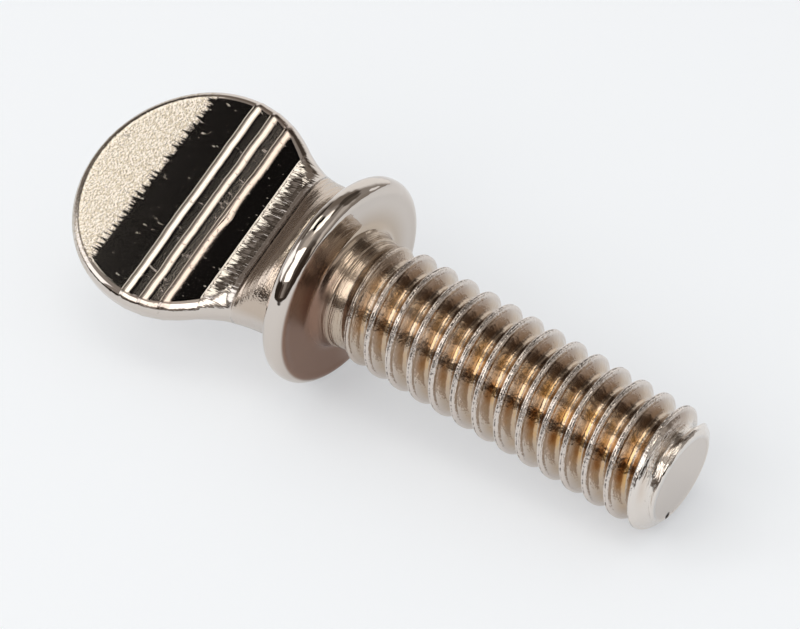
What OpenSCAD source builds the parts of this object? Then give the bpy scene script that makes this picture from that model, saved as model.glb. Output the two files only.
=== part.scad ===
// Thumb screw: one cold-formed steel piece, nickel plated all over.
// A round blank is upset into a thin collar, its head end is pressed flat
// into a round spade with three grip ribs, and a coarse right-hand thread
// is rolled into the shank. Millimetres, +Z up. The screw lies on its
// side, carried by the collar rim and by the last full thread crest.

/* [Shank and thread] */
// outside diameter over the thread crests
thread_d = 6.14; // [5.2:0.1:7.2]
// distance from one crest to the next, twenty to the inch
pitch = 1.27; // [0.9:0.01:1.5]
// bearing face to the end of the shank
shank_len = 19.35; // [14:0.5:40]
// plain diameter left under the collar before the thread starts
neck_d = 5.7; // [5:0.1:6.2]
// length of that plain neck
neck_len = 0.8; // [0.6:0.1:2]
// radius that joins the neck to the bearing face
neck_fillet = 0.6; // [0.3:0.1:0.6]
// distance over which the thread grows to its full depth
runout_len = 1.9; // [1:0.1:4]
// diameter of the flat end face
end_d = 4.6; // [3.6:0.1:4.8]
// length over which the point rounds down to the end face
point_len = 0.85; // [0.4:0.05:1.2]
// how far the end face is cut off square, in degrees
end_skew = 5; // [0:0.5:6]

/* [Collar] */
// outside diameter of the collar
collar_d = 10.75; // [9.5:0.1:14]
// thickness of the collar
collar_t = 1.25; // [1.2:0.05:2]
// rounding of the rim, on both sides
rim_r = 0.58; // [0.2:0.02:0.58]

/* [Spade head] */
// bearing face to the far end of the head
head_len = 15.15; // [14.4:0.05:18]
// width across the spade
spade_w = 12.2; // [11:0.1:13.2]
// length of the spade along the shank axis
spade_l = 11.9; // [11:0.1:12.6]
// thickness of the spade between its two faces
head_t = 1.3; // [1.1:0.1:2]
// how much each face has been pressed thinner at the far end
end_thinning = 0.12; // [0:0.01:0.14]
// reach of the rounding along the rim of the spade
edge_r = 0.5; // [0.2:0.02:0.5]
// how far the head leans sideways in its own plane, in degrees
head_lean = 2.8; // [0:0.1:4]
// width of the waist where it enters the collar
waist_w = 7.9; // [7:0.1:8.4]
// thickness of the waist where it enters the collar
waist_t = 5.4; // [4:0.1:6]
// radius of the hollow between spade and waist, seen from above
waist_hollow_r = 7; // [4:0.5:8]
// bearing face to the crease where the flat face ends
flat_end = 5.69; // [5.3:0.01:6]
// length of the pressed ramp that leaves the flat face
ramp_len = 0.95; // [0.5:0.05:1.2]
// rise of that ramp in degrees
ramp_angle = 20; // [10:1:30]

/* [Grip ribs] */
// ribs on each face
rib_count = 3; // [1:1:3]
// spacing of the ribs along the head
rib_pitch = 1.01; // [0.8:0.01:1.1]
// width of a rib at its foot
rib_w = 0.66; // [0.4:0.02:0.74]
// height of a rib above the face
rib_h = 0.15; // [0.05:0.01:0.3]
// bearing face to the rib nearest the collar
rib_first = 7.21; // [6.9:0.01:7.4]

/* [How it lies] */
// how far the spade is rolled about the shank from lying level
roll = 27.3; // [0:0.1:40]

/* [Hidden] */
thread_r = thread_d / 2;
neck_r = neck_d / 2;
collar_r = collar_d / 2;
end_r = end_d / 2;
face_h = head_t / 2;
spade_a = spade_l / 2;
spade_b = spade_w / 2;
blank_gap = 0.09;                    // step from the neck down to the blank under the thread
blank_r = neck_r - blank_gap;

crest_w = 0.17 * pitch;              // width of the rounded crest
crest_sag = 0.03;                    // how far the crest edges stand below its top
thread_depth = 0.55 * pitch;
root_sag = 0.04;                     // hollow of the rounded root
flank_x = (thread_depth - crest_sag - root_sag) * tan(30);    // sixty degree thread
root_w = pitch - crest_w - 2 * flank_x;
root_r = thread_r - thread_depth;
thread_phase = 0.226;                // where a crest line passes the plane of the head
skew_way = 108;                      // side of the shank on which the end face stands forward
seg = 36;                            // flats round one turn
rows = 6;                            // lines along the helix in one pitch
cap_band = 0.06;                     // plain band that closes the thread at each end
start_x = neck_len / 2;              // the threaded body starts inside the neck

spade_x = -head_len + spade_a;        // centre of the round spade
fan_gap = 0.75;                      // last rib to the point its end fan starts from
pivot_x = -(rib_first + (rib_count - 1) * rib_pitch + fan_gap);
arc_steps = 3;                       // steps round an edge
bury = 0.6;                          // how deep the head reaches into the collar
back_x = -collar_t;
waist_a = waist_w / 2;
waist_h = waist_t / 2;
seat_fillet = 0.45;                  // fillet from waist to collar
oval = spade_b / spade_a;
waist_s = waist_a / oval;            // waist and hollow in the scale of a round spade
hollow_x = spade_x + sqrt(pow(spade_a + waist_hollow_r, 2)
                        - pow(waist_s + waist_hollow_r, 2));
hollow_from = spade_x + (hollow_x - spade_x) * spade_a / (spade_a + waist_hollow_r);
round_reach = 2.2;                   // length over which the spade edge grows rounder
round_edge = 0.8;                    // reach of that rounder edge
wall_reach = 2.6;                    // length over which it takes up the whole wall
round_from = -(flat_end + round_reach);
waist_round = 0.8;                   // share of the waist's half width that is rounded
wall_share = 0.85;                   // most of the half thickness that an edge may take
flare_gap = 1.1;                     // collar to the place where the flare is full
flare_end = back_x - flare_gap;
rib_flank = 0.7;                     // share of a rib's half width that slopes
thin_at = 0.4;                       // share of the spade's half length before it thins
lean_turns = 1.5;                    // turns of thread that lean with the end face

function clamp01(v) = min(1, max(0, v));
function smooth(v) = let(u = clamp01(v)) u * u * (3 - 2 * u);
function mix(a, b, s) = a + (b - a) * s;

// ---- thread --------------------------------------------------------

// place of line i inside one pitch, measured from the crest centre
function line_x(i) =
    i < 3 ? (i - 1) * crest_w / 2 :
    crest_w / 2 + flank_x + (i - 3) * root_w / 2;
// radius of line i on a fully formed thread
function line_r(i) =
    i == 1 ? thread_r :
    i < 3 ? thread_r - crest_sag :
    i == 4 ? root_r : root_r + root_sag;
// share of full depth reached at x
function formed(x) = smooth((x - neck_len - cap_band) / runout_len);
function point_r(x) = end_r + (thread_r - end_r)
    * (1 - pow(clamp01((x - shank_len + point_len) / point_len), 2));
function body_r(i, x) = min(mix(blank_r, line_r(i), formed(x)), point_r(x));

turns = ceil((shank_len - start_x) / pitch) + 2;
last = turns * rows - 1;
first_x = thread_phase + pitch * (floor((start_x - thread_phase) / pitch) - 1);
lead_in = start_x + cap_band;
lead_out = shank_len - cap_band;
raw_lo = first_x - pitch;
raw_hi = first_x + pitch * (turns + 1);
// lines that would pass an end of the shank are gathered in its end band
function squeeze(x) =
    x < lead_in ? start_x + cap_band * (x - raw_lo) / (lead_in - raw_lo) :
    x > lead_out ? shank_len - cap_band * (raw_hi - x) / (raw_hi - lead_out) :
    x;
// the last turns lean with the end face
function lean(x, r, a) = x + r * cos(a - skew_way) * tan(end_skew)
    * smooth((x - shank_len) / (lean_turns * pitch) + 1);
function ring(x, r) = [for (j = [0 : seg - 1])
    let(a = 360 * j / seg) [lean(x, r, a), r * cos(a), r * sin(a)]];

module threaded_body() {
    lines = [for (k = [0 : last], j = [0 : seg - 1])
        let(i = k % rows,
            x = squeeze(first_x + pitch * (floor(k / rows) + j / seg) + line_x(i)),
            r = body_r(i, x), a = 360 * j / seg)
        [lean(x, r, a), r * cos(a), r * sin(a)]];
    n = len(lines);
    pts = concat(lines, ring(start_x, blank_r), ring(shank_len, end_r));
    s0 = n;
    e0 = n + seg;
    polyhedron(points = pts, faces = concat(
        // skin between neighbouring lines
        [for (k = [0 : last - 1], j = [0 : seg - 2], t = [0, 1])
            let(p = k * seg + j)
            t == 0 ? [p, p + seg, p + 1] : [p + 1, p + seg, p + seg + 1]],
        // the turn closes one pitch further on
        [for (k = [0 : last - rows - 1], t = [0, 1])
            let(p = k * seg + seg - 1, q = (k + rows) * seg)
            t == 0 ? [p, p + seg, q] : [q, p + seg, q + seg]],
        // band at the neck end
        [for (j = [0 : seg - 2], t = [0, 1])
            t == 0 ? [s0 + j, j, s0 + j + 1] : [s0 + j + 1, j, j + 1]],
        [concat([s0 + seg - 1, seg - 1], [for (k = [rows : -1 : 0]) k * seg], [s0])],
        // band at the point
        [for (j = [0 : seg - 2], t = [0, 1])
            let(p = last * seg + j)
            t == 0 ? [p, e0 + j, p + 1] : [p + 1, e0 + j, e0 + j + 1]],
        [concat([for (k = [last - rows : last]) k * seg + seg - 1],
                [e0 + seg - 1, e0, last * seg])],
        // the two flat ends
        [[for (j = [0 : seg - 1]) s0 + j]],
        [[for (j = [seg - 1 : -1 : 0]) e0 + j]]
    ));
}

// ---- collar and neck -----------------------------------------------

function arc(cx, cy, r, a0, a1, n) = [for (i = [0 : n])
    let(a = a0 + (a1 - a0) * i / n) [cx + r * cos(a), cy + r * sin(a)]];

// half section: first number is the radius, second the place along the shank
module collar_and_neck() {
    rotate([0, 90, 0]) rotate_extrude($fn = 72)
        polygon(concat(
            [[0, back_x]],
            arc(collar_r - rim_r, back_x + rim_r, rim_r, -90, 0, 4),
            arc(collar_r - rim_r, -rim_r, rim_r, 0, 90, 4),
            arc(neck_r + neck_fillet, neck_fillet, neck_fillet, 270, 180, 3),
            [[neck_r, neck_len], [0, neck_len]]
        ));
}

// ---- spade head ----------------------------------------------------

// fillet that spreads the waist onto the collar
function seat(x) = let(d = x - (back_x - seat_fillet))
    d <= 0 ? 0 : seat_fillet - sqrt(max(0, seat_fillet * seat_fillet - d * d));
// half width of the outline at x
function half_w(x) =
    x < hollow_from ? oval * sqrt(max(0, spade_a * spade_a - pow(x - spade_x, 2))) :
    x < hollow_x ? oval * (waist_s + waist_hollow_r
                 - sqrt(pow(waist_hollow_r, 2) - pow(hollow_x - x, 2))) :
    waist_a + seat(min(x, back_x));
// raised height of the ribs at x
function ribs(x) = max([for (i = [0 : rib_count - 1])
    let(d = abs(x + rib_first + i * rib_pitch) / (rib_w / 2))
    rib_h * clamp01((1 - d) / rib_flank)]);
// half thickness at x: thinned end, flat, ramp, flare
ramp_top = face_h + ramp_len * tan(ramp_angle);
thin_from = spade_x - spade_a * thin_at;
function half_t(x) =
    x < -flat_end ? face_h + ribs(x)
                  - end_thinning * clamp01((thin_from - x) / (spade_a * (1 - thin_at))) :
    x < -flat_end + ramp_len ? face_h + (x + flat_end) * tan(ramp_angle) :
    mix(ramp_top, waist_h, smooth((x + flat_end - ramp_len)
                                / (flare_end + flat_end - ramp_len)))
    + seat(min(x, back_x));
// reach of the edge rounding across the width and through the thickness
function edge_y(x) = mix(mix(edge_r, round_edge, clamp01((x - round_from) / round_reach)),
                         half_w(x) * waist_round,
                         smooth((x + flat_end) / (flare_end + flat_end)));
function edge_z(x) = mix(edge_r, half_t(x), smooth((x - round_from) / wall_reach));

// stations along the head, from inside the collar out to the pivot
rib_marks = [for (i = [0 : rib_count - 1], d = [-1, rib_flank - 1, 1 - rib_flank, 1])
    -(rib_first + i * rib_pitch) - d * rib_w / 2];
stations = concat(
    [-bury],
    [for (i = [0 : 3]) back_x - seat_fillet * (1 - cos(90 * i / 3))],
    [for (i = [1 : 8]) mix(back_x - seat_fillet, -flat_end + ramp_len, i / 8)],
    [-flat_end],
    [for (i = [1 : 2]) mix(-flat_end, rib_marks[0], i / 3)],
    rib_marks,
    [pivot_x]);
fan = 24;
ns = len(stations);
lines_n = 2 * ns + fan - 1;
ring_share = [0.4, 0.75, 1];
per_line = len(ring_share) + arc_steps;

// distance from the pivot to the rim in direction a
function rim(a) = let(o = (pivot_x - spade_x) / spade_a,
        u = cos(a) / spade_a, v = sin(a) / spade_b,
        q = u * u + v * v, h = o * u)
    (sqrt(h * h - q * (o * o - 1)) - h) / q;
// root, direction and length of line l, going round the outline
function side(l) = l < ns ? 1 : l > ns + fan - 2 ? -1 : 0;
function station(l) = l < ns ? l : l > ns + fan - 2 ? lines_n - 1 - l : ns - 1;
function line_a(l) = side(l) == 1 ? 90 : side(l) == -1 ? 270
                   : 90 + 180 * (l - ns + 1) / fan;
function line_len(l) = side(l) == 0 ? rim(line_a(l)) : half_w(stations[station(l)]);
// point q of line l on the upper (s = 1) or lower (s = -1) skin
function skin(l, q, s) =
    let(x0 = stations[station(l)], a = line_a(l), full = line_len(l),
        xe = x0 + full * cos(a),
        reach = min(edge_y(xe), full),
        n = len(ring_share),
        t = q < n ? 90 : 90 - 90 * (q - n + 1) / arc_steps,
        d = q < n ? (full - reach) * ring_share[q] : full - reach + reach * cos(t),
        x = x0 + d * cos(a), h = half_t(x), f = min(edge_z(x), h * wall_share))
    [x, d * sin(a), s * (h - f + f * sin(t))];
function spine(i, s) = [stations[i], 0, s * half_t(stations[i])];

module spade_head() {
    skins = [for (s = [1, -1], l = [0 : lines_n - 1], q = [0 : per_line - 1]) skin(l, q, s)];
    half = lines_n * per_line;
    pts = concat(skins, [for (s = [1, -1], i = [0 : ns - 1]) spine(i, s)]);
    // number of a skin point, q = -1 being the spine
    function up(l, q) = q < 0 ? 2 * half + station(l) : l * per_line + q;
    function dn(l, q) = q < 0 ? 2 * half + ns + station(l) : half + l * per_line + q;
    e = per_line - 1;
    z = lines_n - 1;
    polyhedron(points = pts, faces = concat(
        [for (l = [0 : z - 1], q = [-1 : e - 1], t = [0, 1])
            if (!(q < 0 && t == 0 && station(l) == station(l + 1)))
            t == 0 ? [up(l, q), up(l + 1, q), up(l + 1, q + 1)]
                   : [up(l, q), up(l + 1, q + 1), up(l, q + 1)]],
        [for (l = [0 : z - 1], q = [-1 : e - 1], t = [0, 1])
            if (!(q < 0 && t == 0 && station(l) == station(l + 1)))
            t == 0 ? [dn(l, q), dn(l + 1, q + 1), dn(l + 1, q)]
                   : [dn(l, q), dn(l, q + 1), dn(l + 1, q + 1)]],
        // rim wall
        [for (l = [0 : z - 1], t = [0, 1])
            t == 0 ? [up(l, e), up(l + 1, e), dn(l, e)]
                   : [dn(l, e), up(l + 1, e), dn(l + 1, e)]],
        // flat end inside the collar
        [concat([for (q = [-1 : e]) up(0, q)], [for (q = [e : -1 : -1]) dn(0, q)],
                [for (q = [0 : e]) dn(z, q)], [for (q = [e : -1 : 0]) up(z, q)])]
    ));
}

// ---- the screw as it lies ------------------------------------------

// the round rim and the last full crest touch the ground, so the axis
// drops toward the point
rest_x = shank_len - point_len;
rise = collar_r - rim_r - thread_r;
run = rest_x + rim_r;
droop = atan2(rise, run) + asin(rim_r / sqrt(rise * rise + run * run));
lift = (collar_r - rim_r) * cos(droop) + rim_r - rim_r * sin(droop);
// middle of the ground it covers
mid_x = ((shank_len - head_len) * cos(droop) + end_r * sin(droop)) / 2;
mid_y = (collar_r - spade_b * cos(roll) + spade_x * sin(head_lean) * cos(roll)) / 2;

module thumb_screw() {
    color([0.78, 0.75, 0.70])
        translate([-mid_x, -mid_y, lift])
            rotate([0, droop, 0]) rotate([roll, 0, 0])
                union() {
                    threaded_body();
                    collar_and_neck();
                    rotate([0, 0, head_lean]) spade_head();
                }
}

thumb_screw();
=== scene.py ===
import bmesh
import bpy
import math
from mathutils import Matrix, Vector, noise


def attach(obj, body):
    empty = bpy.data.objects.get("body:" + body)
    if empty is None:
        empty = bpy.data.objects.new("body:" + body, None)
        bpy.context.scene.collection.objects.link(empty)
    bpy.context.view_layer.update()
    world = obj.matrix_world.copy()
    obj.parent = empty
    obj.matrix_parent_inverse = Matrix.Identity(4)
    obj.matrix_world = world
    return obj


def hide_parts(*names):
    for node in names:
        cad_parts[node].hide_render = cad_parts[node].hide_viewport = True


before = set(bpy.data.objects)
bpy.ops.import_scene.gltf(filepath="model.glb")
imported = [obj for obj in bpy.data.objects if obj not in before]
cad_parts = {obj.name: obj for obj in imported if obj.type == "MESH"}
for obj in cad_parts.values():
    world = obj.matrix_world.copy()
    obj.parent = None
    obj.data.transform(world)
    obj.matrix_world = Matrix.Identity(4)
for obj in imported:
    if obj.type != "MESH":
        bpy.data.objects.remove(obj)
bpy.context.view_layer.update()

# ---- shank and thread ------------------------------------------------------
# The lower half of the screw: a steel blank that is rolled between two dies,
# so the metal is squeezed out of the grooves up into the crests. It is worked
# on a bench frame in millimetres, with the shank along X and the point at +X.
THREAD_R = 3.07
PITCH = 1.27
SHANK_LEN = 19.35
NECK_R = 2.85
NECK_LEN = 0.8
BLANK_R = NECK_R - 0.09                 # the blank under the thread, a step below the neck
RUNOUT = 1.9                            # length over which the thread grows to full depth
RUNOUT_FROM = NECK_LEN + 0.06
THREAD_FROM = NECK_LEN + 0.03
END_R = 2.3
END_RING = 0.05                         # narrow ring that keeps the end face flat
POINT_LEN = 0.85                        # length over which the shank rounds to its end
END_SKEW = math.tan(math.radians(5))    # the end isn't cut off quite square
SKEW_WAY = math.radians(108)            # side of the shank on which it stands forward
SKEW_TURNS = 1.5                        # turns of thread that lean with it
THREAD_PHASE = 0.226                    # where a crest passes the plane of the head
CREST_W = 0.17 * PITCH
CREST_SAG = 0.03                        # fall of the rounded crest to its edges
DEPTH = 0.55 * PITCH
ROOT_SAG = 0.04                         # fall of the rounded root to its middle
FLANK_W = (DEPTH - CREST_SAG - ROOT_SAG) * math.tan(math.radians(30))
ROOT_W = PITCH - CREST_W - 2 * FLANK_W
LAP = 0.022                             # depth of the seam that rolling leaves in the crest
TURN_STEPS = 150
SPARE_TURNS = 3                         # turned beyond both ends, then cut off
TURN_GAP = 0.002                        # points of two turns closer than this are one


def clamp01(v):
    return min(1.0, max(0.0, v))


def smooth(v):
    u = clamp01(v)
    return u * u * (3 - 2 * u)


def mix(a, b, s):
    return a + (b - a) * s


def tooth_profile():
    # one pitch of the thread in section, crest centre to crest centre: the
    # seam, the lip beside it, the flank, the hollow root and the same again
    crest = ((0.0, LAP), (0.14, LAP * 0.75), (0.30, 0.004), (0.55, 0.0), (0.80, 0.008),
             (1.0, CREST_SAG))          # (share of the half crest, drop below its top)
    half = [(share * CREST_W / 2, THREAD_R - drop) for share, drop in crest]
    foot = THREAD_R - DEPTH + ROOT_SAG
    for k in (0.08, 0.5, 0.9):
        half.append((CREST_W / 2 + FLANK_W * k, mix(THREAD_R - CREST_SAG, foot, k)))
    for k in (0.0, 0.3, 0.65, 1.0):
        half.append((CREST_W / 2 + FLANK_W + ROOT_W / 2 * k,
                     foot - ROOT_SAG * (1 - (1 - k) ** 2)))
    return half + [(PITCH - x, r) for x, r in reversed(half[:-1])]


def formed(x):
    # share of its full depth that the thread has reached
    return smooth((x - RUNOUT_FROM) / RUNOUT)


def point_r(x):
    k = clamp01((x - SHANK_LEN + POINT_LEN) / POINT_LEN)
    return END_R + (THREAD_R - END_R) * (1 - k * k)


def rim_edges(bm, test):
    return [e for e in bm.edges if e.is_boundary and all(test(v.co) for v in e.verts)]


shank = bmesh.new()
turns = math.ceil((SHANK_LEN - THREAD_FROM) / PITCH) + SPARE_TURNS
first_x = THREAD_PHASE + PITCH * (math.floor((THREAD_FROM - THREAD_PHASE) / PITCH) - 1)
profile = [shank.verts.new((first_x + x, r, 0)) for x, r in tooth_profile()]
edges = [shank.edges.new(pair) for pair in zip(profile, profile[1:])]
bmesh.ops.spin(shank, geom=profile + edges, cent=(0, 0, 0), axis=(1, 0, 0),
               dvec=(PITCH / TURN_STEPS, 0, 0), angle=math.tau,
               steps=TURN_STEPS, use_merge=False, use_duplicate=False)
one_turn = shank.verts[:] + shank.edges[:] + shank.faces[:]
for turn in range(1, turns):
    copy = bmesh.ops.duplicate(shank, geom=one_turn)["geom"]
    bmesh.ops.translate(shank, vec=(PITCH * turn, 0, 0),
                        verts=[v for v in copy if isinstance(v, bmesh.types.BMVert)])
bmesh.ops.remove_doubles(shank, verts=shank.verts, dist=TURN_GAP)
for at, way in ((THREAD_FROM, -1), (SHANK_LEN, 1)):
    bmesh.ops.bisect_plane(shank, geom=shank.verts[:] + shank.edges[:] + shank.faces[:],
                           dist=1e-5, plane_co=(at, 0, 0), plane_no=(way, 0, 0),
                           clear_outer=True)
for v in shank.verts:
    x, r, a = v.co.x, math.hypot(v.co.y, v.co.z), math.atan2(v.co.z, v.co.y)
    r = min(mix(BLANK_R, r, formed(x)), point_r(x))
    x += (r * math.cos(a - SKEW_WAY) * END_SKEW
          * smooth((x - SHANK_LEN) / (SKEW_TURNS * PITCH) + 1))
    v.co = (x, r * math.cos(a), r * math.sin(a))
end = bmesh.ops.edgeloop_fill(shank, edges=rim_edges(shank, lambda c: c.x > SHANK_LEN / 2))
bmesh.ops.inset_region(shank, faces=end["faces"], thickness=END_RING, use_even_offset=True)

# ---- neck and collar -------------------------------------------------------
# The thin washer-like flange is upset from the same blank, with a rounded rim
# on both sides, a flat bearing face and a fillet into the short plain neck.
COLLAR_R = 5.375
COLLAR_T = 1.25
RIM_R = 0.58
NECK_FILLET = 0.6
FACE_INSET = 0.12                       # last ring of a flat face before its rounding,
FILLET_INSET = 0.1                      # and before the fillet, so the face shades flat
NECK_EDGE = ((-0.03, 0), (0, -0.02))    # the neck's worn edge, from its end and radius
ROUND_STEPS = 200
RIM_STEPS = 12
FILLET_STEPS = 8


def arc(cx, cr, radius, start, end, steps):
    # points of an arc in section, as (place along the shank, radius)
    return [(cx + radius * math.sin(a), cr + radius * math.cos(a))
            for a in (math.radians(mix(start, end, i / steps)) for i in range(steps + 1))]


face_r = COLLAR_R - RIM_R
section = ([(-COLLAR_T, face_r - FACE_INSET)]
           + arc(-COLLAR_T + RIM_R, face_r, RIM_R, -90, 0, RIM_STEPS)
           + arc(-RIM_R, face_r, RIM_R, 0, 90, RIM_STEPS)
           + [(0, face_r - FACE_INSET), (0, NECK_R + NECK_FILLET + FILLET_INSET)]
           + arc(NECK_FILLET, NECK_R + NECK_FILLET, NECK_FILLET, 270, 180, FILLET_STEPS)
           + [(NECK_LEN + x, NECK_R + r) for x, r in NECK_EDGE]
           + [(NECK_LEN + 0.01, BLANK_R)])
collar = bmesh.new()
ring = [collar.verts.new((x, r, 0)) for x, r in section]
edges = [collar.edges.new(pair) for pair in zip(ring, ring[1:])]
bmesh.ops.spin(collar, geom=ring + edges, cent=(0, 0, 0), axis=(1, 0, 0), angle=math.tau,
               steps=ROUND_STEPS, use_merge=True, use_duplicate=False)

# ---- spade head ------------------------------------------------------------
# The finger grip: the other end of the blank, pressed between dies into a flat
# round spade with three low ribs across each face. A crease and a ramp lead to
# the thicker waist, which keeps the draw lines of the die.
HEAD_LEN = 15.15
SPADE_A = 5.95                          # half the spade's length
SPADE_B = 6.1                           # and half its width
FACE_H = 0.65                           # half its thickness
THINNING = 0.12                         # how much thinner each face is at the far end
THIN_AT = 0.4                           # share of the spade's half length before it thins
EDGE_R = 0.5
HEAD_LEAN = math.radians(2.8)           # the head leans sideways in its own plane
LEAN_RUN = 3                            # length over which it takes up that lean
WAIST_A = 3.95
WAIST_H = 2.7
HOLLOW_R = 7                            # hollow between spade and waist, from above
FLAT_END = 5.69                         # bearing face to the crease
RAMP_LEN = 0.95
RAMP_ANGLE = math.radians(20)
RAMP_SLOPE = math.tan(RAMP_ANGLE)
RIBS = (7.21, 8.22, 9.23)               # bearing face to the top of each rib
RIB_H = 0.06
RIB_RISE = 0.18                         # from the head end up to the top of a rib
RIB_FALL = 0.38                         # and down again toward the collar
RIB_HOLLOW = (1.15, 1.8)                # how hollow those two slopes are, 1 is straight
SEAT_FILLET = 0.45                      # fillet from waist to collar
FLARE_GAP = 1.1                         # collar to where the waist has its full height
ROUND_REACH = 2.2                       # length over which the spade's edge grows rounder
ROUND_EDGE = 0.8                        # and how far in it then reaches
WALL_REACH = 2.6                        # length over which it takes up the whole wall
WAIST_ROUND = 0.8                       # share of the waist's half width that is rounded
WALL_SHARE = 0.85                       # most of the half thickness that an edge may take
FAN_GAP = 0.75                          # last rib to the point that the end fan starts from
FAN = 96
ACROSS = 26
CROWDING = 1.15                         # draws the lines on a face together at its rim
EDGE_STEPS = 8
SEAT_STEPS = 6
WAIST_STEPS = 26
RAMP_STEPS = 6
GAP_STEPS = 3                           # between two ribs
MERGE = 0.0005                          # points closer than this are one
CREASE_GUARD = (0.06, 0.02)             # lines beside the crease, which keep it crisp
THIN_GUARD = (0.04, 0.015)              # and beside the line where the face thins
# worn dies left the ribs crooked, each wave as (height, waves per mm, its seed)
WAVES = ((0.03, 0.8, 0.5), (0.02, 3.5, 4.5))
RIB_SEED = 7.0                          # moves the noise on from one rib to the next
RIB_MID = 0.06                          # middle of a rib's foot, from its top
RIB_BAND = 0.66                         # how far from it the face moves with the rib,
RIB_FADE = 0.3                          # and the last part, where that fades out
END_FADE = 0.8                          # likewise at the ends of the rib
BULGE = 0.11                            # bulge in the rib nearest the collar,
BULGE_R = 0.5                           # half its width
BULGE_Y = -0.1                          # and its place along the rib
STEP = 0.05                             # small step near one end of the same rib
STEP_Y = 2.2
back_x = -COLLAR_T
spade_x = -HEAD_LEN + SPADE_A
pivot_x = -(RIBS[-1] + FAN_GAP)
oval = SPADE_B / SPADE_A
waist_s = WAIST_A / oval
hollow_x = spade_x + math.sqrt((SPADE_A + HOLLOW_R) ** 2 - (waist_s + HOLLOW_R) ** 2)
hollow_from = spade_x + (hollow_x - spade_x) * SPADE_A / (SPADE_A + HOLLOW_R)
round_from = -(FLAT_END + ROUND_REACH)
flare_end = back_x - FLARE_GAP
thin_from = spade_x - SPADE_A * THIN_AT
thin_run = SPADE_A * (1 - THIN_AT)


def seat(x):
    d = x - (back_x - SEAT_FILLET)
    return 0 if d <= 0 else SEAT_FILLET - math.sqrt(max(0, SEAT_FILLET ** 2 - d * d))


def half_w(x):
    if x < hollow_from:
        return oval * math.sqrt(max(0, SPADE_A ** 2 - (x - spade_x) ** 2))
    if x < hollow_x:
        return oval * (waist_s + HOLLOW_R - math.sqrt(HOLLOW_R ** 2 - (hollow_x - x) ** 2))
    return WAIST_A + seat(x)


def ribs(x):
    # low ridges, steep toward the head end and running out gently toward the collar
    return RIB_H * max(clamp01(1 + (x + at) / RIB_RISE) ** RIB_HOLLOW[0] if x < -at
                       else clamp01(1 - (x + at) / RIB_FALL) ** RIB_HOLLOW[1] for at in RIBS)


def half_t(x):
    if x < -FLAT_END:
        return FACE_H + ribs(x) - THINNING * clamp01((thin_from - x) / thin_run)
    ramp_top = FACE_H + RAMP_LEN * RAMP_SLOPE
    if x < -FLAT_END + RAMP_LEN:
        return FACE_H + (x + FLAT_END) * RAMP_SLOPE
    return mix(ramp_top, WAIST_H, smooth((x + FLAT_END - RAMP_LEN)
                                         / (flare_end + FLAT_END - RAMP_LEN))) + seat(x)


def edge_y(x):
    # how far the rounded edge reaches in from the side
    return mix(mix(EDGE_R, ROUND_EDGE, clamp01((x - round_from) / ROUND_REACH)),
               half_w(x) * WAIST_ROUND, smooth((x + FLAT_END) / (flare_end + FLAT_END)))


def edge_z(x):
    # and how far down from the face
    return mix(EDGE_R, half_t(x), smooth((x - round_from) / WALL_REACH))


def steps_between(a, b, n):
    return [mix(a, b, (i + 1) / n) for i in range(n)]


# stations along the head, from the collar back, close together at each edge
stations = [back_x - SEAT_FILLET * (1 - math.cos(math.pi / 2 * i / SEAT_STEPS))
            for i in range(SEAT_STEPS + 1)]
stations += steps_between(stations[-1], -FLAT_END + RAMP_LEN + CREASE_GUARD[1],
                          WAIST_STEPS)
stations += steps_between(stations[-1], -FLAT_END + CREASE_GUARD[0], RAMP_STEPS)
stations += [-FLAT_END + k for k in (CREASE_GUARD[1], -CREASE_GUARD[1], -CREASE_GUARD[0])]
for at in RIBS:
    stations += steps_between(stations[-1], -at + RIB_FALL * 1.1, GAP_STEPS)
    stations += [-at + RIB_FALL * k for k in (1.0, 0.92, 0.8, 0.65, 0.5, 0.35, 0.2, 0.06)]
    stations += [-at - RIB_RISE * k for k in (0.1, 0.3, 0.5, 0.7, 0.88, 1.0, 1.12)]
stations += steps_between(stations[-1], pivot_x, GAP_STEPS)
count = len(stations)
lines = 2 * count + FAN - 1
shares = [1 - (1 - i / ACROSS) ** CROWDING for i in range(ACROSS + 1)]


def rim_reach(a):
    # from the pivot to the outline of the spade, in direction a
    o = (pivot_x - spade_x) / SPADE_A
    u, v = math.cos(a) / SPADE_A, math.sin(a) / SPADE_B
    q, h = u * u + v * v, o * u
    return (math.sqrt(h * h - q * (o * o - 1)) - h) / q


def plan_point(l, q):
    # where line l of the loft meets ring q, seen from above
    if l < count:
        x0, a, full = stations[l], math.pi / 2, half_w(stations[l])
    elif l > count + FAN - 2:
        x0, a, full = stations[lines - 1 - l], -math.pi / 2, half_w(stations[lines - 1 - l])
    else:
        a = math.pi / 2 + math.pi * (l - count + 1) / FAN
        x0, full = pivot_x, rim_reach(a)
    reach = min(edge_y(x0 + full * math.cos(a)), full)
    if q <= ACROSS:
        d = (full - reach) * shares[q]
    else:
        d = full - reach + reach * math.sin(math.pi / 2 * (q - ACROSS) / EDGE_STEPS)
    return Vector((x0 + d * math.cos(a), d * math.sin(a), 0))


def face_height(x, y):
    # height of the upper skin over a point of the plan
    if x > pivot_x:
        d, full, rim_x = abs(y), half_w(x), x
    else:
        a = math.atan2(y, x - pivot_x)
        d, full = math.hypot(x - pivot_x, y), rim_reach(a)
        rim_x = pivot_x + full * math.cos(a)
    reach = min(edge_y(rim_x), full)
    over = clamp01((d - full + reach) / reach)
    h = half_t(x)
    f = min(edge_z(x), h * WALL_SHARE)
    return h - f + f * math.sqrt(1 - over * over)


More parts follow.
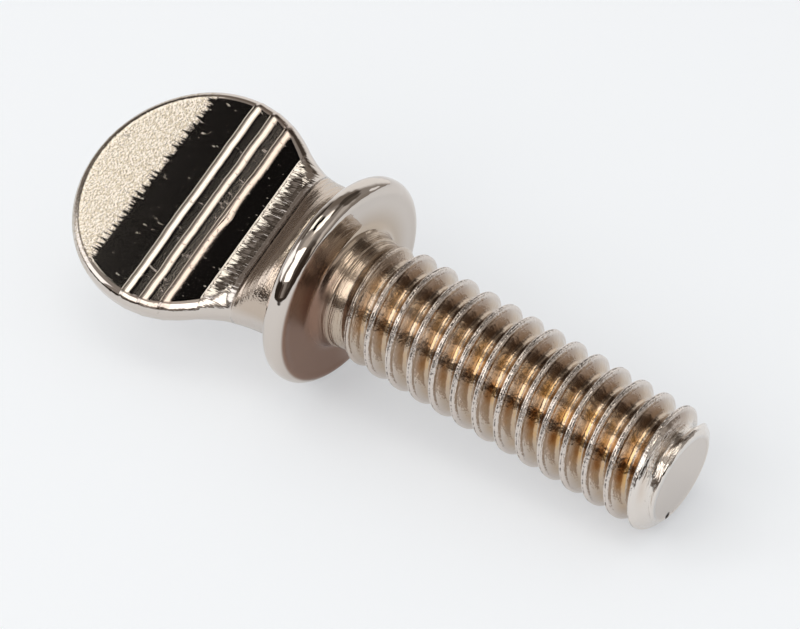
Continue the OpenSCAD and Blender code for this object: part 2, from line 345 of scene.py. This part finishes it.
head = bmesh.new()
bmesh.ops.create_grid(head, x_segments=lines - 1, y_segments=ACROSS + EDGE_STEPS, size=1)
for v in head.verts:
    l = round((v.co.x + 1) / 2 * (lines - 1))
    q = round((v.co.y + 1) / 2 * (ACROSS + EDGE_STEPS))
    v.co = plan_point(l, q)
bmesh.ops.remove_doubles(head, verts=head.verts, dist=MERGE)
for guard in [*THIN_GUARD, *(-k for k in reversed(THIN_GUARD))]:
    bmesh.ops.bisect_plane(head, geom=head.verts[:] + head.edges[:] + head.faces[:],
                           dist=1e-5, plane_co=(thin_from + guard, 0, 0), plane_no=(1, 0, 0))
for v in head.verts:
    v.co.z = face_height(v.co.x, v.co.y)
for v in head.verts:
    # a rib moves along the head with the face beside it, but not at its ends
    for i, at in enumerate(RIBS):
        near = clamp01((RIB_BAND - abs(v.co.x + at - RIB_MID)) / RIB_FADE)
        inner = clamp01((half_w(-at) - abs(v.co.y)) / END_FADE)
        if near and inner:
            sway = sum(wave_h * noise.noise(Vector((RIB_SEED * i, v.co.y * per_mm, seed)))
                       for wave_h, per_mm, seed in WAVES)
            if i == 0:
                if v.co.x + at > 0.02:
                    sway += BULGE * math.exp(-((v.co.y - BULGE_Y) / BULGE_R) ** 2)
                sway += STEP * smooth((v.co.y - STEP_Y) / 0.4)
            v.co.x += sway * near * inner
            break
wall = rim_edges(head, lambda c: True)
wall = [e for e in wall if not all(abs(v.co.x - back_x) < 1e-4 for v in e.verts)]
for keep in (0.5, 0):
    wall = bmesh.ops.extrude_edge_only(head, edges=wall)["geom"]
    for v in wall:
        if isinstance(v, bmesh.types.BMVert):
            v.co.z *= keep
    wall = [e for e in wall if isinstance(e, bmesh.types.BMEdge)]
bmesh.ops.mirror(head, geom=head.verts[:] + head.edges[:] + head.faces[:],
                 matrix=Matrix.Identity(4), merge_dist=MERGE, axis="Z")
for v in head.verts:
    lean = HEAD_LEAN * smooth((back_x - v.co.x) / LEAN_RUN)
    v.co = Matrix.Rotation(lean, 3, "Z") @ v.co

# ---- the screw in one piece, lying down ------------------------------------
# Cold forming leaves no joint between head, collar and shank. The screw rests
# on the collar rim and on its last full crest, rolled until the spade's weight
# is carried, so the shank drops a little toward the point.
ROLL = math.radians(27.3)
MM = 0.001                              # a millimetre of the bench frame, in metres
SEAM = 0.01                             # open rims are found this close to their place
whole = bmesh.new()
for part in (shank, collar, head):
    scrap = bpy.data.meshes.new("scrap")
    part.to_mesh(scrap)
    whole.from_mesh(scrap)
    bpy.data.meshes.remove(scrap)
    part.free()
for at in ((back_x - SEAM, back_x + SEAM), (NECK_LEN, THREAD_FROM + SEAM)):
    loops = rim_edges(whole, lambda c: at[0] < c.x < at[1])
    bmesh.ops.bridge_loops(whole, edges=loops)
bmesh.ops.recalc_face_normals(whole, faces=whole.faces)
rise = COLLAR_R - RIM_R - THREAD_R
run = SHANK_LEN - POINT_LEN + RIM_R
droop = math.atan2(rise, run) + math.asin(RIM_R / math.hypot(rise, run))
lift = (COLLAR_R - RIM_R) * math.cos(droop) + RIM_R - RIM_R * math.sin(droop)
mid_x = ((SHANK_LEN - HEAD_LEN) * math.cos(droop) + END_R * math.sin(droop)) / 2
mid_y = (COLLAR_R - SPADE_B * math.cos(ROLL)
         + spade_x * math.sin(HEAD_LEAN) * math.cos(ROLL)) / 2
laid = (Matrix.Translation((-mid_x, -mid_y, lift))
        @ Matrix.Rotation(droop, 4, "Y") @ Matrix.Rotation(ROLL, 4, "X"))
bmesh.ops.transform(whole, matrix=Matrix.Scale(MM, 4) @ laid, verts=whole.verts)
for face in whole.faces:
    face.smooth = True
mesh = bpy.data.meshes.new("thumb_screw_plated")
whole.to_mesh(mesh)
screw = bpy.data.objects.new("thumb_screw_plated", mesh)
bpy.context.scene.collection.objects.link(screw)
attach(screw, "root")
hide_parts("thumb_screw")

# ---- nickel plating --------------------------------------------------------
# Bright nickel over steel, barrel plated: a warm grey metal that mirrors the
# room wherever the dies were smooth. The far end of the head is worn to a fine
# grain, and the thread and the neck are browner. Colour also carries painted
# shade and painted reflections along one side of the shank and low on the bearing face.
soft = {"interpolation_type": "SMOOTHSTEP"}
times = {"operation": "MULTIPLY"}
plus = {"operation": "ADD"}
less = {"operation": "SUBTRACT"}
into = {"operation": "MULTIPLY_ADD"}


def linear(code):
    # an sRGB hex colour as the linear values that a shader takes
    parts = [int(code[i:i + 2], 16) / 255 for i in (1, 3, 5)]
    return [c / 12.92 if c <= 0.04045 else ((c + 0.055) / 1.055) ** 2.4 for c in parts] + [1]


def empty_tree(block):
    block.use_nodes = True
    block.node_tree.nodes.clear()
    return block.node_tree


def add(kind, *values, out=0, **named):
    # one node: values go to its sockets in order, a name with a capital is a
    # socket too, and any other name is a setting
    node = tree.nodes.new("ShaderNode" + kind)
    sockets = list(enumerate(values))
    for name, value in named.items():
        if name[0].islower():
            setattr(node, name, value)
        else:
            sockets.append((name.replace("_", " "), value))
    for socket, value in sockets:
        if isinstance(value, bpy.types.NodeSocket):
            tree.links.new(value, node.inputs[socket])
        else:
            node.inputs[socket].default_value = value
    return node.outputs if out is None else node.outputs[out]


def zone(*bounds):
    # a part of the screw with soft edges: each bound is (measure, where it is 0,
    # where it is 1, or what it is instead), another zone round it, or a strength
    inside = 1.0
    for bound in bounds:
        if isinstance(bound, tuple):
            bound = add("MapRange", *bound, **soft)
        inside = add("Math", inside, bound, **times)
    return inside


nickel = bpy.data.materials.new("bright_nickel_plate")
tree = empty_tree(nickel)

# the bench frame again, in millimetres, from where each point of the metal lies
bench = add("Mapping", add("TexCoord", out="Object"), Rotation=(ROLL, droop, 0),
            Location=(-mid_x * MM, -mid_y * MM, lift * MM), Scale=(MM, MM, MM),
            vector_type="TEXTURE")
along, side, up = add("SeparateXYZ", bench, out=None)
spread = add("VectorMath", add("CombineXYZ", 0, side, up), operation="LENGTH", out="Value")
from_middle = add("Math", up, operation="ABSOLUTE")
grip = add("Mapping", bench, Rotation=(0, 0, -HEAD_LEAN))
back, width = add("SeparateXYZ", grip, out=None)[:2]
beyond = add("Math", thin_from, back, **less)       # past the line where the face thins
climb = add("Math", back, FLAT_END, **plus)         # up the ramp from the crease

# helix coordinates: turns run so far, and place across the tooth from its crest
turned = add("Math", add("Math", up, side, operation="ARCTAN2"), math.tau, operation="DIVIDE")
lead = add("Math", add("Math", along, 1 / PITCH, -THREAD_PHASE / PITCH, **into), turned, **less)
tooth = add("Math", lead, operation="ROUND")
across = add("Math", lead, tooth, **less)
off_crest = add("Math", across, operation="ABSOLUTE")
helix = add("CombineXYZ", add("Math", add("Math", turned, tooth, **plus),
                              math.tau * THREAD_R, **times),
            add("Math", across, PITCH, **times), 0)

# where the finishes lie, in millimetres; on the tooth, in shares of a pitch
ramp_end = -FLAT_END + 1.5
on_thread = zone((along, NECK_LEN, NECK_LEN + RUNOUT),
                 (along, SHANK_LEN - 0.1, SHANK_LEN - POINT_LEN - 0.3))
on_crest = zone(on_thread, (off_crest, 0.17, 0.11))
on_seam = zone(on_thread, (off_crest, 0.032, 0.016))
groove = zone(on_thread, (spread, THREAD_R - DEPTH * 0.1, THREAD_R - DEPTH * 0.8))
on_point = zone((along, SHANK_LEN - POINT_LEN - 0.2, SHANK_LEN - POINT_LEN + 0.2),
                (spread, END_R - 0.25, END_R - 0.05))
on_neck = zone((along, -0.05, 0.4), (along, 3.4, 2.2))
by_neck = zone((along, NECK_LEN + RUNOUT + 1.2, NECK_LEN + 0.4),
               (spread, NECK_R + 1.6, NECK_R + 0.2), (along, -0.2, 0.0))
# painted shade: the lower side of the bearing face, darkened in colour for the shadowed table that
# it mirrors
bearing_painted_shade = zone((side, 0.5, -2.5), (along, -0.1, -0.02), (along, 1.2, 0.2))
on_rim = zone((spread, face_r - 0.3, face_r + 0.2), (along, back_x - 0.5, back_x))
on_waist = zone((back, ramp_end, ramp_end + 0.3), (along, back_x - 0.1, back_x - 0.5))
on_face = zone((from_middle, 0.46, 0.6))
on_edge = zone((back, -FLAT_END + 0.3, -FLAT_END), (from_middle, 0.6, 0.45))
on_ramp = zone(on_face, (back, -FLAT_END - 0.02, -FLAT_END + 0.05),
               (back, ramp_end + 0.3, ramp_end))
on_flats = zone((back, -FLAT_END, -FLAT_END - 0.1))
on_ribs = zone(add("MapRange", back, -RIBS[-1] - 0.5, -RIBS[0], 0.1, 1.0),
               (back, -RIBS[0] + 0.45, -RIBS[0] + 0.35))

# the flats break off raggedly, which turns the normal there and not the height:
# hairs of the flat reach out over the worn field, and a comb of it up the ramp.
# Noise runs from about 0.3 to 0.7, which each range below spreads out
HAIR_LEN = 0.6                          # of the longest hair over the field
HAIR_LOSS = 0.3                         # by which hairs are shorter at one side
COMB_LEN = (0.12, 1.7)                  # over which the ramp's lean eases off
COMB_STEP = 0.16                        # share of the lean that is gone at once
FRINGE = (-0.02, 0.12)                  # where the comb begins, past the crease
fringe, comb, hairs = (
    add("TexNoise", add("VectorMath", grip, per_mm, **times), Scale=1.0,
        Detail=detail, Roughness=0.6)
    for per_mm, detail in (((0.9, 7.0, 0.5), 2), ((0.25, 5.5, 0.25), 3), ((0.9, 10.0, 0.5), 2)))
reach = add("Math", add("MapRange", hairs, 0.42, 0.72, 0.0, HAIR_LEN),
            add("MapRange", width, -4.0, 4.6, 0.0, HAIR_LOSS), **less)
on_field = zone((add("Math", beyond, reach, **less), -0.03, 0.05))
held = add("Math", add("MapRange", beyond, -0.02, 0.02), on_field, **less)
held = add("Math", held, THINNING / thin_run, **times)
begun = add("Math", climb, add("MapRange", fringe, 0.35, 0.65, *FRINGE), **less)
eased = add("Math", begun, add("MapRange", comb, 0.36, 0.62, *COMB_LEN), operation="DIVIDE")
eased = add("Math", eased, add("MapRange", begun, 0.0, 0.04, 0.0, COMB_STEP), **plus)
kept = add("Math", add("MapRange", eased, 0.0, 1.0, 1.0, 0.0),
           add("MapRange", climb, RAMP_LEN, RAMP_LEN - 0.1), **times)
steep = add("Math", add("MapRange", climb, -0.01, 0.01), math.sin(RAMP_ANGLE), **times)
lengthwise = add("Math", add("Math", kept, steep, held, **into), on_face, **times)
sideways = add("Math", add("MapRange", fringe, 0.3, 0.7, -0.12, 0.12), on_ramp, **times)
turn = laid.to_3x3() @ Matrix.Rotation(HEAD_LEAN, 3, "Z")
normal = add("NewGeometry", out="Normal")
for way, lean in ((turn.col[0], lengthwise), (turn.col[1], sideways)):
    leaned = add("VectorMath", tuple(way), Scale=lean, operation="SCALE")
    normal = add("VectorMath", normal, leaned, **plus)
normal = add("VectorMath", normal, operation="NORMALIZE")

# marks of wear, each as (axes, marks per mm along them, detail, depth in mm, zone)
relief = 0.0
for axes, per_mm, detail, depth, where in (
        (bench, (0.7, 0.7, 0.7), 2, 0.06, on_rim),          # tumbled rim
        (bench, (8.5, 8.5, 8.5), 3, 0.0072, on_field),      # grain of the worn field
        (bench, (9.0, 9.0, 9.0), 3, 0.0025, on_ribs),
        (bench, (6.0, 6.0, 6.0), 3, 0.014, on_edge),
        (bench, (11.0, 0.5, 0.5), 3, 0.035, on_neck),       # rings round the neck
        (bench, (5.0, 5.0, 5.0), 2, 0.01, on_neck),
        (grip, (0.3, 9.0, 0.3), 3, 0.02, on_ramp),          # draw lines of the die
        (bench, (4.0, 0.35, 0.35), 3, 0.06, on_waist),      # folds round the waist
        (bench, (9.0, 9.0, 9.0), 2, 0.014, on_waist),
        (helix, (0.9, 9.0, 1.0), 2, 0.014, on_thread),      # lines that rolling leaves
        (bench, (2.0, 2.0, 2.0), 1, 0.016, on_thread),      # uneven flanks
        (bench, (5.0, 5.0, 5.0), 3, 0.024, on_thread),
        (helix, (0.9, 9.0, 1.0), 3, 0.065, on_crest),       # crests rubbed in the barrel
        (bench, (7.0, 7.0, 7.0), 3, 0.034, on_crest),
        (helix, (0.5, 4.0, 1.0), 4, 0.19, on_point)):       # cuts where the bar was parted
    marks = add("TexNoise", add("VectorMath", axes, per_mm, **times), Scale=1.0, Detail=detail)
    relief = add("Math", add("Math", marks, depth, **times), where, relief, **into)

# pits on the flats, few on the smooth ones, and the broken lap of each crest
NICK = (19.26, -1.38, -1.59)            # at the lower edge of the end face
scratched = add("Mapping", grip, Rotation=(0, 0, 0.6), Scale=(1.6, 4.5, 4.5))
pitted = add("Math", on_ribs, 0.05, add("TexNoise", scratched, Scale=1.0, Detail=4, Roughness=0.7),
             **into)
pits = zone(on_flats, (pitted, 0.66, 0.72))
lap = zone(on_seam, (add("TexNoise", bench, Scale=7.0, Detail=2), 0.46, 0.6))
off_ridge = add("Math", add("Math", back, -ramp_end - 0.25, **plus), operation="ABSOLUTE")
ridge = zone((off_ridge, 0.2, 0.0))
off_nick = add("VectorMath", add("VectorMath", bench, NICK, **less), operation="LENGTH",
               out="Value")
nick = zone((off_nick, 0.22, 0.12))
for where, height in ((pits, -0.016), (lap, -0.02), (ridge, 0.05), (nick, -0.05)):
    relief = add("Math", where, height, relief, **into)
bump = add("Bump", Strength=1.0, Distance=MM, Height=relief, Normal=normal)

# painted light on one side of the shank, places on a turn in shares of it: an
# amber painted reflection on the flanks, painted brown shade within it and beside it
cloud = add("TexNoise", bench, Scale=1.1, Detail=3)
# painted reflection: amber glints on the flanks toward the point, on one side of the shank, stand
# in for light bounced between the flanks
painted_amber_glint = zone(groove, (across, 0.06, 0.18), (cloud, 0.35, 0.62, 0.3, 1.0),
             (turned, 0.18, 0.28, 0.2, 1.0), (turned, 0.47, 0.39, 0.1, 1.0),
             (along, 4.0, 14.0, 0.6, 1.0))
# painted shade: darker brown inside those glints, for the darkening deep between the flanks
painted_brown_shade = zone(painted_amber_glint, (turned, 0.31, 0.35), (turned, 0.45, 0.38), (across, 0.45, 0.3))
# painted shade: a browner band on the flanks beside them, on the same side of the shank
painted_flank_shade = zone(on_thread, (turned, 0.27, 0.2), (turned, 0.06, 0.14), (across, 0.08, 0.2),
            (across, 0.47, 0.38), 0.7)
grains = add("TexNoise", bench, Scale=9.0, Detail=2)
dirt = add("Math", add("Math", lap, 0.7, **times), nick, operation="MAXIMUM")
tint = linear("#D4CBC3")                                    # clean nickel
for where, colour in (
        (add("Math", groove, by_neck, operation="MAXIMUM"), "#C0B09F"),    # browner in the grooves and round the neck
        (zone(on_field, (grains, 0.42, 0.62)), "#C0B5A6"),  # hollows between the grains
        (bearing_painted_shade, "#907363"),                            # painted shade, the table's shadow mirrored
        (zone(on_ribs, on_face), "#C3B5AC"),
        (zone(on_waist, (from_middle, 0.4, 1.1), 0.65), "#BEAB98"),
        (zone(on_crest, 0.5), "#E2D8D0"),                   # crests, rubbed clean
        (on_point, "#E4DDD6"),
        # painted reflection and painted shade of the thread, on one side of the shank
        (painted_amber_glint, "#D0A66E"),
        (painted_brown_shade, "#935F32"),
        (painted_flank_shade, "#8A7260"),
        (dirt, "#2E241D")):
    tint = add("Mix", Factor=where, A=tint, B=linear(colour), data_type="RGBA", out="Result")
dull = 0.05                                                 # nearly a mirror where smooth
for where, more in ((groove, 0.08), (on_field, 0.07), (on_waist, 0.1), (on_neck, 0.12),
                    (on_ribs, 0.07), (bearing_painted_shade, 0.2), (dirt, 0.3)):
    dull = add("Math", where, more, dull, **into)
metal = add("BsdfPrincipled", tint, Metallic=1, Roughness=dull, Normal=bump)
add("OutputMaterial", metal, out=None)
screw.data.materials.append(nickel)

# ---- paper table -----------------------------------------------------------
# A sheet of matt white paper under the screw. It ends a few centimetres in
# front of it, at a dark cloth that the metal mirrors as its dark undersides.
VIEW_AZ = math.radians(38.0)
VIEW_EL = math.radians(35.81)
CLOTH_FROM = 0.038                      # the sheet begins to give way to the cloth
CLOTH_FULL = 0.05
TABLE_HALF = 2                          # half its side, in metres
SEEN_WHITE = 0.36                       # light that the camera sees on the sheet
MIRRORED_WHITE = 0.34                   # and the metal, beside what falls on it


def studio(az, el):
    # a direction from the screw, as seen by the camera: az to the right of
    # straight away from it, el above the table
    a, e = VIEW_AZ - math.radians(az), math.radians(el)
    return Vector((-math.sin(a) * math.cos(e), math.cos(a) * math.cos(e), math.sin(e)))


floor_mesh = bpy.data.meshes.new("table")
plane = bmesh.new()
bmesh.ops.create_grid(plane, x_segments=1, y_segments=1, size=TABLE_HALF)
plane.to_mesh(floor_mesh)
table = bpy.data.objects.new("table", floor_mesh)
bpy.context.scene.collection.objects.link(table)
paper = bpy.data.materials.new("matt_white_paper")
tree = empty_tree(paper)
forward = add("VectorMath", add("TexCoord", out="Object"), tuple(studio(180, 0)),
              operation="DOT_PRODUCT", out="Value")
cloth = add("MapRange", forward, CLOTH_FROM, CLOTH_FULL, **soft)
ray = add("LightPath", out=None)
seen = add("Math", ray["Is Camera Ray"], SEEN_WHITE, **times)
seen = add("Math", ray["Is Glossy Ray"], MIRRORED_WHITE, seen, **into)
seen = add("Math", seen, add("Math", 1.0, cloth, **less), **times)
sheet = add("BsdfDiffuse", add("Mix", Factor=cloth, A=linear("#CDCFD1"), B=linear("#3A332E"),
                               data_type="RGBA", out="Result"))
haze = add("Emission", linear("#F8FBFF"), seen)
add("OutputMaterial", add("AddShader", sheet, haze), out=None)
table.data.materials.append(paper)

# ---- soft boxes and room ---------------------------------------------------
# Lamps behind white cloth at the left, on the near side and overhead, a pale
# sweep behind and a dark room elsewhere, which the metal mirrors as black bands.
AIM = Vector((-0.00032, 0.00093, 0.00426))
SKYLIGHT = 0.66                         # what matt surfaces get from the room, overhead
SKYLIGHT_FROM = 0.5                     # sine of the elevation where it is reached

# each as (name, az, el, width, height, distance in metres, level, colour)
for name, az, el, box_w, box_h, away, level, colour in (
        ("left_soft_box", -88, 26, 0.28, 0.26, 0.5, 1.4, "#F8FBFF"),
        ("near_soft_box", -143, 36, 0.42, 0.3, 0.5, 1.9, "#FFFBF6"),
        ("top_soft_box", 180, 81.8, 0.25, 0.195, 0.5, 1.25, "#FFF6EA"),
        ("head_panel", -62, 58.6, 0.6, 0.5, 2.0, 1.5, "#FFFFF6")):
    lamp = bpy.data.lights.new(name, "AREA")
    lamp.shape, lamp.size, lamp.size_y = "RECTANGLE", box_w, box_h
    lamp.energy = level * math.pi * box_w * box_h       # mirrored at that level, 1 is white
    lamp.color = linear(colour)[:3]
    box = bpy.data.objects.new(name, lamp)
    box.location = AIM + studio(az, el) * away
    box.rotation_euler = (-studio(az, el)).to_track_quat("-Z", "Y").to_euler()
    bpy.context.scene.collection.objects.link(box)

world = bpy.data.worlds.new("studio")
bpy.context.scene.world = world
tree = empty_tree(world)
way = add("TexCoord", out="Generated")
tone = linear("#9A948F")                # the walls
# patches of the room, each as (az, el, inner and outer radius in degrees, colour)
for az, el, inner, outer, colour in (
        (11, 8, 26, 44, "#FFFFFE"),         # the pale sweep behind
        (170, 15, 25, 40, "#5A534D"),       # the dark room on the near side
        (-44, 22, 8, 14, "#78706A"),        # between the sweep and the left soft box
        (-66, 10, 6, 10, "#FFFFFF"),        # white card beside it
        (65, 12, 4, 7, "#FFFFFF"),          # and on the right
        (85, 10, 8, 14, "#928B84"),         # the right wall, bit by bit
        (103, 30, 8, 16, "#C9C4BE"),
        (124, 22, 8, 14, "#D6D0CA"),
        (134, 13, 6, 10, "#E2DCD4"),
        (-145, 60, 14, 24, "#CBC4BC"),      # above the near soft box
        (-97, 3, 8, 11, "#332C27"),         # dark strip below the lamps at the left
        (-112, 5, 8, 11, "#332C27"),
        (-127, 5, 7, 10, "#524842"),
        (155, 8, 16, 24, "#3A312B"),        # the dark room, low down
        (180, 83, 13, 19, "#FFFBF4"),       # the diffuser overhead
        (-64, 42, 6, 11, "#5F5851"),        # the dark ceiling between the lamps
        (-37, 43, 8, 14, "#3E3833"),
        (-5, 55, 10, 18, "#7A7169"),
        (22, 56, 11, 19, "#7A7169"),
        (52, 56, 13, 20, "#4A433D"),
        (77, 42, 9, 15, "#5F5851"),
        (92, 68, 7, 12, "#5F5851"),
        (-83, 74, 9.5, 10.2, "#0E0D0D")):   # black card that the flats mirror
    near = add("VectorMath", way, studio(az, el), operation="DOT_PRODUCT", out="Value")
    inside = add("MapRange", near, math.cos(math.radians(outer)), math.cos(math.radians(inner)),
                 **soft)
    tone = add("Mix", Factor=inside, A=tone, B=linear(colour), data_type="RGBA", out="Result")
height = add("SeparateXYZ", way, out="Z")
overhead = add("MapRange", height, 0.0, SKYLIGHT_FROM, 0.0, SKYLIGHT, **soft)
ray = add("LightPath", out=None)
for seen_by, shown in (("Is Diffuse Ray", overhead), ("Is Camera Ray", linear("#F4F5F7"))):
    tone = add("Mix", Factor=ray[seen_by], A=tone, B=shown, data_type="RGBA", out="Result")
add("OutputWorld", add("Background", tone), out=None)

# ---- camera ----------------------------------------------------------------
# A long lens, above and in front of the screw and nearer to its point, so that
# it keeps nearly the same scale from head to point.
LENS = 264.32                           # in millimetres, on a sensor 36 mm wide
CAMERA_AT = (0.13797836, -0.17545362, 0.16576480)
camera = bpy.data.cameras.new("camera")
camera.sensor_width = 36
camera.lens = LENS
viewer = bpy.data.objects.new("camera", camera)
viewer.location = CAMERA_AT
viewer.rotation_euler = (math.pi / 2 - VIEW_EL, 0, VIEW_AZ)
bpy.context.scene.collection.objects.link(viewer)
bpy.context.scene.camera = viewer
bpy.context.scene.view_settings.view_transform = "Standard"
